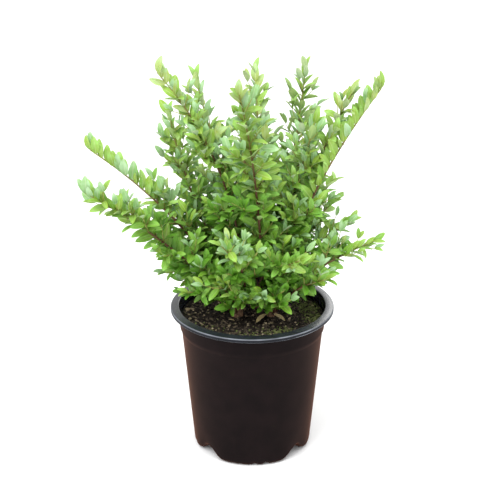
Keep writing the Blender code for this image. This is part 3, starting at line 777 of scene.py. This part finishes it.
def leaf_place(spot, along, facing, roll):
    """Turn and place of a leaf: X across the blade, Y along it, and Z out of its upper face."""
    flat = (facing - along * facing.dot(along)).normalized()
    flat = Matrix.Rotation(radians(roll), 3, along) @ flat
    turn = Matrix((along.cross(flat), along, flat)).transposed()
    return Matrix.Translation(spot) @ turn.to_4x4()


def has_room(tip):
    """Whether a leaf tip stays off the compost and the pot, and inside the size of the plant."""
    if tip.z < SOIL_HEIGHT + TIP_OVER_SOIL:
        return False
    if tip.xy.length > NECK_RADIUS - TIP_INSIDE_NECK and tip.z < POT_HEIGHT + TIP_OVER_RIM:
        return False
    return all(low + INSIDE_MARGIN < value < high - INSIDE_MARGIN
               for value, low, high in zip(tip, *cad_box))


def grow_leaves(shoot, start, step, size, colour_at, row_from, chance):
    """Pairs of leaves from start to the tip, crossed on an upright limb, mostly sideways on a leaning one.

    Blades twist on their stalks to face the light, but in a row they stand up like the teeth of a comb."""
    nodes = max(1, int((1 - start) * shoot.length / step))
    for node in range(nodes + 1):
        share = min(LAST_PAIR, start + (1 - start) * node / nodes)
        row = share > row_from
        tip_spread = COMB_TIP_SPREAD if row else LEAF_TIP_SPREAD
        spread = LEAF_SPREAD + (tip_spread - LEAF_SPREAD) * share ** 3
        length = (LEAF_LONGEST + (LEAF_SHORTEST - LEAF_LONGEST) * share ** 1.5) * size
        place = shoot.place(share)
        ahead = place.to_3x3() @ Vector((0, 0, 1))
        light = light_on(place.translation)
        upper = Vector((0, 0, 1)) if row else light
        upper = (upper - ahead * upper.dot(ahead)).normalized()
        rise = chance.uniform(*COMB_RISE) if row else chance.uniform(*PAIR_RISE)
        turns = (90 - rise, 270 + rise)
        crossed = 1.0 if shoot.lean_at(share) < UPRIGHT_LEAN else CROSSED_CHANCE
        if node % 2 and not row and chance.random() < crossed:
            turns = (0, 180)
        for around in turns:
            turn = radians(around + chance.uniform(-PAIR_TURN_VARIES, PAIR_TURN_VARIES))
            off = radians(spread + chance.uniform(-SPREAD_VARIES, SPREAD_VARIES))
            sideways = upper * cos(turn) + ahead.cross(upper) * sin(turn)
            along = ahead * cos(off) + sideways * sin(off)
            own = length * chance.uniform(*LENGTH_VARIES)
            if row and chance.random() < ROW_DROPPED and has_room(place.translation - sideways * own):
                along = ahead * cos(off) - sideways * sin(off)
            if has_room(place.translation + along * own):
                page = along.cross(ahead).normalized()
                page *= 1 if page.dot(light) > 0 else -1
                # A blade in a row shows its page to the row's side. Others face the light and tip forwards.
                facing = page * 0.8 + light * 0.2 if row else light * 0.75 + ahead * 0.35
                spot = leaf_place(place.translation, along, facing, chance.uniform(-BLADE_ROLL, BLADE_ROLL))
                width = own * LEAF_WIDTH * chance.uniform(*WIDTH_VARIES)
                leaves.append((spot, own, width, colour_at(share)))


def grow_twig(parent, share, around, length, level, size, colour, chance):
    """One side twig with its leaves, and small twigs of its own if it is long."""
    place = parent.place(share)
    ahead = off_limb(place, around, TWIG_ANGLE + chance.uniform(-TWIG_ANGLE_VARIES, TWIG_ANGLE_VARIES))
    azimuth, lean = degrees(atan2(ahead.y, ahead.x)), degrees(acos(ahead.z))
    turn = chance.uniform(-TWIG_TURN, TWIG_TURN)
    twig = Shoot(place.translation, azimuth, turn, lean, lean * TWIG_RISE, length)
    if not has_room(twig.place(1.0).translation):
        return
    steps = [i / TWIG_RINGS for i in range(TWIG_RINGS + 1)]
    twig_tubes.append(([twig.place(step) for step in steps],
                       [TWIG_RADIUS + (TWIG_TIP_RADIUS - TWIG_RADIUS) * step for step in steps],
                       [max(share, TWIG_YOUTH) + step for step in steps]))

    def twig_colour(at):
        """The twig's own green, or at its tip, unless it is deep inside, perhaps a younger one."""
        if at > TWIG_TIP and colour < DEEP:
            return chance.choice((max(YOUNG_AND_LIT, colour - 1), FRESH, colour))
        return colour

    grow_leaves(twig, TWIG_LEAFLESS, TWIG_PAIR_STEP, size, twig_colour, 1.0, chance)
    if level == 1 and length > FORKING_TWIG:
        for side in (-1, 1):
            grow_twig(twig, chance.uniform(*FINE_TWIG_AT), side * chance.uniform(*FINE_TWIG_ROUND),
                      length * FINE_TWIG_SHARE * chance.uniform(*FINE_TWIG_VARIES), 2, size, colour, chance)


def grow_shoot(name, shoot):
    """One shoot beyond its bough, with its leaves and its side twigs."""
    chance = random.Random(name)
    start = BOUGH_SHARE if shoot.length >= BOUGH_LEAST_SHOOT else 0.0
    rings = ceil((1 - start) * shoot.length / SHOOT_RING_STEP)
    shares = [start + (1 - start) * i / rings for i in range(rings + 1)]
    twig_tubes.append(([shoot.place(share) for share in shares],
                       [WOOD_THICKER * shoot_radius(share) for share in shares],
                       [share ** 2 for share in shares]))
    row_from = ROWS.get(name, 1.0)

    def shade(share):
        """Green of the leaves here, painted light and shade: lighter high up and near the tip, where they are
        also younger.
        """
        height = (shoot.place(share).translation.z - GROUND) / (cad_box[1][2] - GROUND)
        light = TIP_LIGHT * share + HEIGHT_LIGHT * height + chance.uniform(-LIGHT_VARIES, LIGHT_VARIES)
        if light > BRIGHT_LIGHT and chance.random() < FRESH_CHANCE:
            return FRESH
        if light > BRIGHT_LIGHT:
            return YOUNG_AND_LIT if light > YOUNG_LIGHT else BRIGHT
        return MATURE_AND_SHADED if light > MATURE_LIGHT else DEEP

    leafless = BOUGH_LEAFLESS if start else LOW_LEAFLESS
    size = 1.0 if shoot.length > LOW_SHOOT else LOW_LEAF_SIZE
    step = COMB_PAIR_STEP if name in ROWS else PAIR_STEP
    grow_leaves(shoot, leafless, step, size, shade, row_from, chance)
    count = int(TWIGGED_SHARE * shoot.length / TWIG_STEP)
    for k in range(count):
        share = leafless / 2 + (TWIGS_END - leafless / 2) * (k + 0.5) / count
        if share > row_from:
            break
        longer = (TWIG_LONGEST - TWIG_SHORTEST) * (1 - share) ** TWIG_FADE
        wanted = TWIG_SHORTEST + longer * chance.uniform(*TWIG_VARIES)
        if wanted < TWIG_LEAST or (name in OPEN_SHOOTS and chance.random() > OPEN_SHOOTS[name]):
            continue
        around = (90 - chance.uniform(TWIG_DOWN, TWIG_UP)) * (1 if k % 2 else -1)
        grow_twig(shoot, share, around, wanted, 1, size * TWIG_LEAF_SIZE, shade(share), chance)


for name, shoot in shoots.items():
    grow_shoot(name, shoot)
for x, y, turn, tilt, length in FALLEN_LEAVES:
    lying = Matrix.Rotation(radians(turn - 90), 4, "Z") @ Matrix.Rotation(radians(tilt), 4, "X")
    spot = Matrix.Translation((x, y, soil_level(x, y) + FALLEN_LIFT)) @ lying
    leaves.append((spot, length, length * LEAF_WIDTH, FALLEN))


def tube_arrays(tubes, sides):
    """Corners, faces and youth of many closed tubes, each a ring of sides at every place."""
    circle = np.array([(cos(2 * pi * i / sides), sin(2 * pi * i / sides), 0) for i in range(sides)])
    corners = []
    faces = []
    youth = []
    for places, radii, young in tubes:
        first = len(corners)
        for place, radius, age in zip(places, radii, young):
            turn = np.array(place.to_3x3())
            corners.extend((circle * radius) @ turn.T + np.array(tuple(place.translation)))
            youth.extend([age] * sides)
        for ring in range(len(places) - 1):
            for i in range(sides):
                a, b = first + ring * sides + i, first + ring * sides + (i + 1) % sides
                faces.append((a, b, b + sides))
                faces.append((a, b + sides, a + sides))
        last = first + (len(places) - 1) * sides
        for i in range(1, sides - 1):
            faces.append((first, first + i + 1, first + i))
            faces.append((last, last + i, last + i + 1))
    return np.array(corners), np.array(faces), youth


# To the eye: thin reddish-brown lines among the leaves, a little mottled, soft and without a shine, that
# turn to a light olive towards their tips. The down is too fine to show and is drawn coarser.
red_bark, twig_shader = new_material("downy_red_brown_bark", 0.6, 1.45, 0.35)
twig_spot = add(red_bark, "ShaderNodeTexCoord", {}).outputs["Object"]
mottle = add(red_bark, "ShaderNodeTexNoise", {"Vector": twig_spot, "Scale": 1 / RED_MOTTLE, "Detail": 4.0})
twig_tone = add(red_bark, "ShaderNodeMix", {"Factor": mottle.outputs["Fac"], COLOUR_A: linear("#4e3024"),
                                            COLOUR_B: linear("#7d5843")}, data_type="RGBA")
youth = add(red_bark, "ShaderNodeAttribute", {}, attribute_name="youth")
green_share = add(red_bark, "ShaderNodeMapRange",
                  {"Value": youth.outputs["Fac"], "From Min": 0.25, "From Max": 1.1})
aged_tone = add(red_bark, "ShaderNodeMix", {"Factor": green_share.outputs["Result"],
                                            COLOUR_A: twig_tone.outputs[COLOUR_OUT],
                                            COLOUR_B: linear("#93984f")}, data_type="RGBA")
downy_grain = add(red_bark, "ShaderNodeTexNoise",
                  {"Vector": twig_spot, "Scale": 1 / DOWN_GRAIN, "Detail": 2.0})
downy_bump = add(red_bark, "ShaderNodeBump", {"Height": downy_grain.outputs["Fac"], "Distance": 0.00008})
dress(red_bark, twig_shader, aged_tone, downy_bump)
twig_corners, twig_faces, twig_youth = tube_arrays(twig_tubes, TWIG_SIDES)
foliage_nodes = [f"foliage_{name}" for name in SHOOTS]
twigs = joined("twigs", twig_corners, twig_faces, np.zeros(len(twig_faces), int), red_bark)
twigs.data.attributes.new("youth", "FLOAT", "POINT").data.foreach_set("value", twig_youth)
twigs.data.shade_smooth()
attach(twigs, "root")
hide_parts(*foliage_nodes)


# Leaves: small oval evergreen blades in pairs, glossy green above and paler below, folded a little along
# the midrib and bent down at the tip. They are yellow-green at the shoot tips, where they are young, and
# their greens are painted lighter high in the crown and darker low and inside as painted light and
# shade. Among the bright ones are some of a fresh bluish green.

# The blade, in shares of its length or width
STATIONS = (0.0, 0.07, 0.2, 0.4, 0.64, 0.84, 0.95, 1.0)
STALK_LENGTH = 0.05
STALK_HALF_WIDTH = 0.035
BELLY_HALF_WIDTH = 0.465
# Below 1, the first moves the widest place towards the stalk and the second blunts both ends.
BELLY_POWER, BLUNT_POWER = 0.9, 0.62
BLADE_FOLD = 0.22
BLADE_DROOP = 0.10
BLADE_THICKNESS = 0.012
# Side veins on each side and their slant, the darker green by the stalk, and the width of a spray of one
# green, in metres
SIDE_VEINS = 7
VEIN_SLANT = -1.1
STALK_SHADE = 0.8
SPRAY_WIDTH = 0.011
# A word for each kind, two greens between which its upper face varies, its underside, and its midrib
LEAF_COLOURS = {
    YOUNG_AND_LIT: ("young", "#aabd57", "#b7de97", "#afc98b", "#cbdba6"),
    FRESH: ("fresh", "#8fbf71", "#badfae", "#adcc97", "#c9daae"),
    BRIGHT: ("bright", "#94b93a", "#a3d76c", "#a9ca7e", "#c2d78b"),
    MATURE_AND_SHADED: ("mature_and_shaded", "#7cae30", "#8bc657", "#8eb75c", "#a8c968"),
    DEEP: ("deep", "#5c941e", "#70ae34", "#739f42", "#8ab048"),
    FALLEN: ("fallen", "#b9a672", "#d8c795", "#ad9a6c", "#e0d2a4"),
}


def half_width(share):
    """Outline of the blade: a short stalk, then a long oval with a blunt tip."""
    if share < STALK_LENGTH:
        return STALK_HALF_WIDTH
    at = (share - STALK_LENGTH) / (1 - STALK_LENGTH)
    return STALK_HALF_WIDTH + BELLY_HALF_WIDTH * max(0.0, sin(pi * at ** BELLY_POWER)) ** BLUNT_POWER


blade = bmesh.new()
bmesh.ops.create_grid(blade, x_segments=2, y_segments=len(STATIONS) - 1, size=0.5)
for vert in blade.verts:
    share = STATIONS[round((vert.co.y + 0.5) * (len(STATIONS) - 1))]
    side = round(vert.co.x * 2)
    width = half_width(share)
    vert.co = (side * width, share, BLADE_FOLD * abs(side) * width - BLADE_DROOP * share ** 2)
blade_shape, blade_faces = shape_arrays(blade)
under_shape = blade_shape.copy()
under_shape[np.abs(under_shape[:, 0]) < 0.001, 2] -= BLADE_THICKNESS
leaf_shape = np.concatenate((blade_shape, under_shape))
leaf_faces = np.concatenate((blade_faces, blade_faces[:, ::-1] + len(blade_shape)))
leaf_uv = leaf_shape[:, :2] + (0.5, 0.0)


def leaf_finish(name, low, high, rib_colour, roughness, specular):
    """Evergreen leaf, a waxy skin over soft green."""
    # To the eye: fresh green with a gentle shine above, flatter and paler below, a pale line along the
    # midrib, faint ripples at the side veins, and sprays that drift from a yellowish green to a cooler
    # and lighter one.
    finish, shader = new_material(name, roughness, 1.45, specular)
    place = add(finish, "ShaderNodeTexCoord", {}).outputs["Object"]
    spray = add(finish, "ShaderNodeTexNoise", {"Vector": place, "Scale": 1 / SPRAY_WIDTH, "Detail": 2.0})
    light = add(finish, "ShaderNodeMapRange", {"Value": spray.outputs["Fac"], **NOISE_RANGE})
    tone = add(finish, "ShaderNodeMix", {"Factor": light.outputs["Result"], COLOUR_A: linear(low),
                                         COLOUR_B: linear(high)}, data_type="RGBA")
    blade_map = add(finish, "ShaderNodeUVMap", {}, uv_map="blade")
    spot = add(finish, "ShaderNodeSeparateXYZ", {"Vector": blade_map.outputs["UV"]})
    centred = add(finish, "ShaderNodeMath", {0: spot.outputs["X"], 1: 0.5}, operation="SUBTRACT")
    off_rib = add(finish, "ShaderNodeMath", {0: centred.outputs["Value"]}, operation="ABSOLUTE")
    flesh = add(finish, "ShaderNodeMapRange", {"Value": spot.outputs["Y"], "From Min": 0.05, "From Max": 0.8})
    darker = [STALK_SHADE * part for part in linear(low)[:3]] + [1.0]
    faded = add(finish, "ShaderNodeMix", {"Factor": flesh.outputs["Result"], COLOUR_A: darker,
                                          COLOUR_B: tone.outputs[COLOUR_OUT]}, data_type="RGBA")
    rib = add(finish, "ShaderNodeMapRange", {"Value": off_rib.outputs["Value"], "From Min": 0.02,
                                             "From Max": 0.08, "To Min": 0.45, "To Max": 0.0})
    ribbed = add(finish, "ShaderNodeMix", {"Factor": rib.outputs["Result"],
                                           COLOUR_A: faded.outputs[COLOUR_OUT],
                                           COLOUR_B: linear(rib_colour)}, data_type="RGBA")
    slant = add(finish, "ShaderNodeMath", {0: off_rib.outputs["Value"], 1: VEIN_SLANT, 2: spot.outputs["Y"]},
                operation="MULTIPLY_ADD")
    veins = add(finish, "ShaderNodeMath", {0: slant.outputs["Value"], 1: 2 * pi * SIDE_VEINS},
                operation="MULTIPLY")
    ripple = add(finish, "ShaderNodeMath", {0: veins.outputs["Value"]}, operation="SINE")
    quilt = add(finish, "ShaderNodeBump", {"Height": ripple.outputs["Value"], "Distance": 0.00012})
    dress(finish, shader, ribbed, quilt)
    return finish


for colour, (word, low, high, under, rib) in LEAF_COLOURS.items():
    group = [leaf for leaf in leaves if leaf[3] == colour]
    sizes = [(width, length, length) for _, length, width, _ in group]
    corners, faces = copies(leaf_shape, leaf_faces, [leaf[0] for leaf in group], sizes)
    kinds = np.tile(np.repeat((0, 1), len(blade_faces)), len(group))
    piece = joined(f"leaves_{word}", corners, faces, kinds,
                   leaf_finish(f"waxy_leaf_{word}", low, high, rib, roughness=0.34, specular=0.7),
                   leaf_finish(f"leaf_underside_{word}", under, rib, rib, roughness=0.6, specular=0.5))
    layout = piece.data.uv_layers.new(name="blade")
    layout.uv.foreach_set("vector", np.tile(leaf_uv[leaf_faces.ravel()], (len(group), 1)).ravel())
    piece.data.shade_smooth()
    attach(piece, "root")
    if colour != FALLEN:
        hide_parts(*foliage_nodes)


# Floor, light and camera: a plain white floor that runs on into a white surround, a soft lamp at the
# upper left, a long narrow one above the front of the rim, a weak one behind, and a long lens that
# looks down on the pot as the photo does.

floor_bm = bmesh.new()
bmesh.ops.create_grid(floor_bm, x_segments=1, y_segments=1, size=4.0)
# To the eye: even, pale and matt, with nothing on it but the pot's soft shadow.
paint, paint_shader = new_material("matt_white_paint", 0.9, 1.45, 0.1)
paint_shader.inputs["Base Color"].default_value = linear("#fcfcfc")
floor = shown("floor", floor_bm, paint)

SURROUND_STRENGTH = 1.12
world = bpy.data.worlds.new("white_surround")
world.use_nodes = True
world.node_tree.nodes["Background"].inputs["Color"].default_value = (1, 1, 1, 1)
world.node_tree.nodes["Background"].inputs["Strength"].default_value = SURROUND_STRENGTH
bpy.context.scene.world = world

PLANT_MIDDLE = Vector((0, 0, 0.25))


def lamp(name, spot, wide, high, power):
    """Soft lamp with a rectangular face, aimed at the middle of the plant."""
    light = bpy.data.lights.new(name, "AREA")
    light.shape = "RECTANGLE"
    light.size = wide
    light.size_y = high
    light.energy = power
    made = bpy.data.objects.new(name, light)
    made.location = spot
    made.rotation_euler = (PLANT_MIDDLE - Vector(spot)).to_track_quat("-Z", "Y").to_euler()
    bpy.context.scene.collection.objects.link(made)


lamp("key", (-0.9, -1.1, 1.7), wide=1.2, high=1.2, power=20)
lamp("strip", (0.1, -0.9, 1.9), wide=2.0, high=0.35, power=14)
lamp("back", (0.5, 1.5, 0.98), wide=0.5, high=0.7, power=6)

# Degrees by which the camera looks down
PITCH = 22.32
lens = bpy.data.cameras.new("camera")
lens.sensor_width = 36
lens.lens = 97.7
camera = bpy.data.objects.new("camera", lens)
camera.location = (-0.0023, -1.2951, 0.752)
camera.rotation_euler = (radians(90 - PITCH), 0, 0)
bpy.context.scene.collection.objects.link(camera)
bpy.context.scene.camera = camera
bpy.context.scene.view_settings.view_transform = "Standard"
